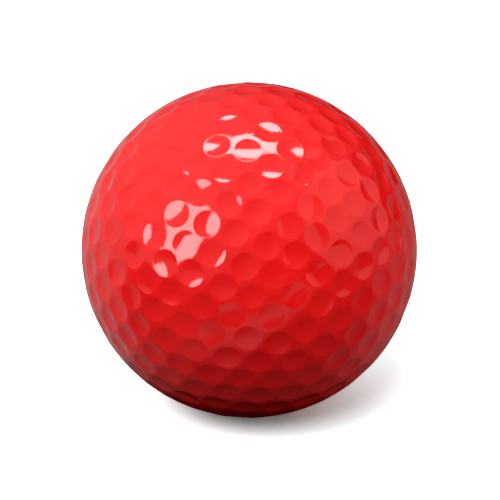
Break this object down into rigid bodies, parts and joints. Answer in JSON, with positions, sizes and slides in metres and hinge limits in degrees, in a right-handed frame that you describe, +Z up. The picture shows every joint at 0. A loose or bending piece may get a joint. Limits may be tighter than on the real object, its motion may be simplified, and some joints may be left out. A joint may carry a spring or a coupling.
{
  "type": "golf ball",
  "caption": "Round dimpled ball for mini golf: a solid rubber core bonded inside a glossy red cover moulded from half shells.",
  "frame": {"origin": "centre of the ball", "axes": "+Z up, with the ball lying as in the picture; its pole axis leans from +Z by the lie angles in the source"},
  "size_m": [0.0426, 0.0426, 0.0426],
  "materials": {
    "core_rubber": "moulded, matt, seen only when the cover is taken off",
    "cover": "red ionomer under a clear gloss coat"
  },
  "bodies": {
    "root": {"core": "core_rubber", "upper_cover_half": "cover", "lower_cover_half": "cover"}
  },
  "joints": []
}
